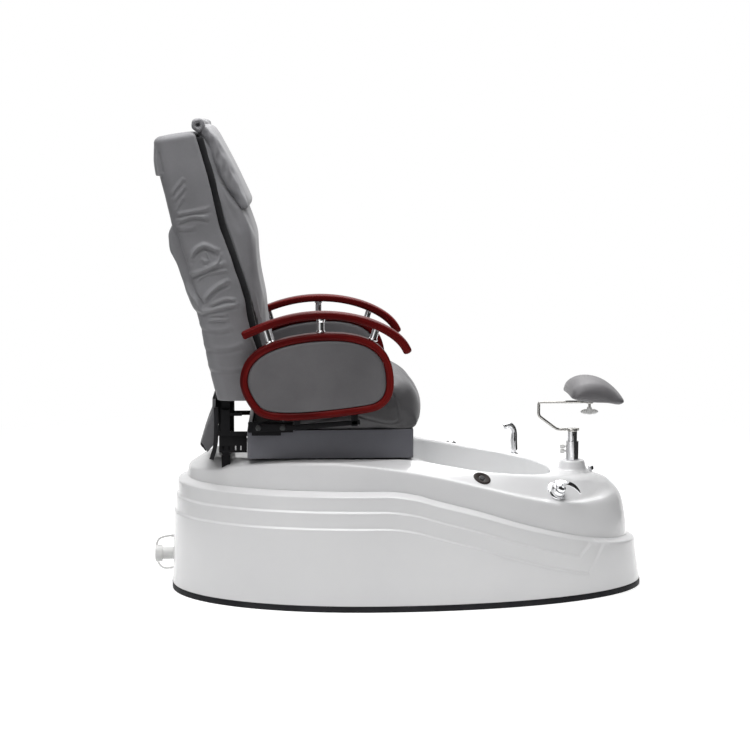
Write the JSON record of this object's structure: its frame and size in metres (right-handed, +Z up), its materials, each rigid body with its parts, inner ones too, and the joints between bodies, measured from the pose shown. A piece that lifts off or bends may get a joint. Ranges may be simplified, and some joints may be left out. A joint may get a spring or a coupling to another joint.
{
  "type": "pedicure spa chair",
  "caption": "Reclining padded spa chair with timber-rimmed arms on a moulded foot-bath base with a swivelling foot pad.",
  "frame": {"origin": "on the floor, at the centre foot, midway along and across the base's footprint", "axes": "+X the way the sitter faces, +Y the sitter's left, +Z up"},
  "size_m": [1.4945, 0.8497, 1.4108],
  "materials": {
    "white_acrylic": "glossy vacuum-formed acrylic",
    "black_rubber": "matt",
    "black_steel": "satin black powder coat",
    "bright_chrome": "polished",
    "gray_leather": "soft grained",
    "dark_panel": "leather over board",
    "mahogany": "red-brown, satin lacquer",
    "plywood": "plain",
    "white_plastic": "moulded, glossy",
    "gray_pipe": "plain",
    "black_plastic": "fine textured",
    "black_cloth": "soft"
  },
  "bodies": {
    "base": {"floor_trim": "black_rubber", "skirt_shell": "white_acrylic", "deck_shell": "white_acrylic", "foot_basin": "white_acrylic", "base_frame": "black_steel", "levelling_feet": "black_plastic", "bath_pump": "black_plastic", "jet_manifold": "white_plastic", "suction_fitting": "white_plastic", "drain_fitting": "gray_pipe", "drain_union": "white_plastic", "supply_inlets": "bright_chrome", "power_box": "black_plastic", "cord_gland": "black_plastic", "mains_cord": "white_plastic", "cord_coil": "white_plastic", "plug": "white_plastic", "mixer_base": "bright_chrome", "shower_socket": "bright_chrome", "air_button_bezel": "bright_chrome", "control_pad": "black_plastic", "post_sleeve": "bright_chrome", "seat_rails": "black_steel"},
    "seat": {"seat_frame": "black_steel", "seat_pan": "plywood", "seat_box": "dark_panel", "seat_cushion": "gray_leather", "arm_brackets": "black_steel", "rear_apron": "black_cloth"},
    "backrest": {"back_shell": "gray_leather", "back_frame": "black_steel", "back_pad": "gray_leather", "head_pillow": "gray_leather", "back_wrap": "gray_leather"},
    "massage_unit": {"massage_carriage": "black_plastic"},
    "actuator": {"actuator_body": "black_plastic"},
    "actuator_ram": {"actuator_rod": "bright_chrome"},
    "armrest_left": {"arm_hoop_left": "mahogany", "arm_pad_left": "gray_leather", "arm_rail_left": "mahogany", "arm_metal_left": "bright_chrome"},
    "armrest_right": {"arm_hoop_right": "mahogany", "arm_pad_right": "gray_leather", "arm_rail_right": "mahogany", "arm_metal_right": "bright_chrome"},
    "footrest_post": {"footrest_tube": "bright_chrome"},
    "footrest_arm": {"footrest_rod": "bright_chrome"},
    "foot_pad": {"footpad": "gray_leather", "footpad_plate": "black_steel"},
    "foot_pad_nut": {"pad_knob": "black_plastic"},
    "clamp_upper": {"clamp_knob_upper": "white_plastic"},
    "clamp_lower": {"clamp_knob_lower": "white_plastic"},
    "mixer_head": {"mixer_cap": "bright_chrome"},
    "mixer_handle": {"mixer_lever": "bright_chrome"},
    "shower": {"hand_shower": "bright_chrome"},
    "bubble_button": {"air_button": "bright_chrome"},
    "jet_control": {"jet_button": "black_plastic"},
    "waste_knob": {"drain_knob": "bright_chrome"},
    "waste_stopper": {"drain_stopper": "bright_chrome"}
  },
  "joints": [
    {"name": "seat_slide", "type": "slide", "parent": "base", "child": "seat", "axis": [1, 0, 0], "range_m": [0, 0.1]},
    {"name": "backrest_recline", "type": "hinge", "parent": "seat", "child": "backrest", "pos_m": [-0.54, 0, 0.53], "axis": [0, -1, 0], "range_deg": [0, 35], "deforming": ["rear_apron"]},
    {"name": "massage_travel", "type": "slide", "parent": "backrest", "child": "massage_unit", "axis": [-0.2827, 0, 0.9592], "range_m": [0, 0.42]},
    {"name": "actuator_swing", "type": "hinge", "parent": "seat", "child": "actuator", "pos_m": [-0.13, 0, 0.462], "axis": [0, 1, 0], "range_deg": [-0.1, 3]},
    {"name": "actuator_retract", "type": "slide", "parent": "actuator", "child": "actuator_ram", "axis": [0.9988, 0, 0.0487], "range_m": [-0.001, 0.06]},
    {"name": "armrest_lift_left", "type": "hinge", "parent": "seat", "child": "armrest_left", "pos_m": [-0.443, 0.267, 0.524], "axis": [0, -1, 0], "range_deg": [0, 70]},
    {"name": "armrest_lift_right", "type": "hinge", "parent": "seat", "child": "armrest_right", "pos_m": [-0.443, -0.267, 0.524], "axis": [0, -1, 0], "range_deg": [0, 70]},
    {"name": "footrest_height", "type": "slide", "parent": "base", "child": "footrest_post", "axis": [0, 0, 1], "range_m": [-0.015, 0.1]},
    {"name": "footrest_swivel", "type": "hinge", "parent": "footrest_post", "child": "footrest_arm", "pos_m": [0.508, 0, 0.466], "axis": [0, 0, 1], "range_deg": [-90, 90]},
    {"name": "footpad_turn", "type": "hinge", "parent": "footrest_arm", "child": "foot_pad", "pos_m": [0.559, 0, 0.556], "axis": [0, 0, 1], "range_deg": [-60, 60]},
    {"name": "footpad_nut_turn", "type": "hinge", "parent": "foot_pad", "child": "foot_pad_nut", "pos_m": [0.559, 0, 0.53], "axis": [0, 0, 1], "continuous": true},
    {"name": "clamp_turn_upper", "type": "hinge", "parent": "base", "child": "clamp_upper", "pos_m": [0.48, 0, 0.42], "axis": [-1, 0, 0], "continuous": true},
    {"name": "clamp_turn_lower", "type": "hinge", "parent": "base", "child": "clamp_lower", "pos_m": [0.48, 0, 0.405], "axis": [-1, 0, 0], "continuous": true},
    {"name": "mixer_turn", "type": "hinge", "parent": "base", "child": "mixer_head", "pos_m": [0.434, -0.193, 0.31671], "axis": [0.4596, -0.6778, 0.574], "range_deg": [-50, 50]},
    {"name": "mixer_lift", "type": "hinge", "parent": "mixer_head", "child": "mixer_handle", "pos_m": [0.4533, -0.22147, 0.34082], "axis": [-0.1979, -0.7082, -0.6778], "range_deg": [0, 25]},
    {"name": "shower_pull", "type": "slide", "parent": "base", "child": "shower", "axis": [0, 0, 1], "range_m": [0, 0.2]},
    {"name": "bubble_press", "type": "slide", "parent": "base", "child": "bubble_button", "axis": [-0.1911, -0.3992, -0.8967], "range_m": [0, 0.003], "stiffness_N_per_m": 400, "springref_m": -0.003},
    {"name": "jet_press", "type": "slide", "parent": "base", "child": "jet_control", "axis": [-0.2781, 0.6108, -0.7414], "range_m": [0, 0.002], "stiffness_N_per_m": 400, "springref_m": -0.003},
    {"name": "waste_turn", "type": "hinge", "parent": "base", "child": "waste_knob", "pos_m": [0.572, 0.042, 0.337], "axis": [0, 0, 1], "range_deg": [-2, 92]},
    {"name": "waste_lift", "type": "slide", "parent": "base", "child": "waste_stopper", "axis": [0, 0, 1], "range_m": [0, 0.012]}
  ],
  "couplings": [
    {"joint": "actuator_retract", "follows": "backrest_recline", "m_per_rad": 0.085},
    {"joint": "actuator_swing", "follows": "backrest_recline", "ratio": 0.048},
    {"joint": "waste_turn", "follows": "waste_lift", "rad_per_m": 130.9}
  ]
}
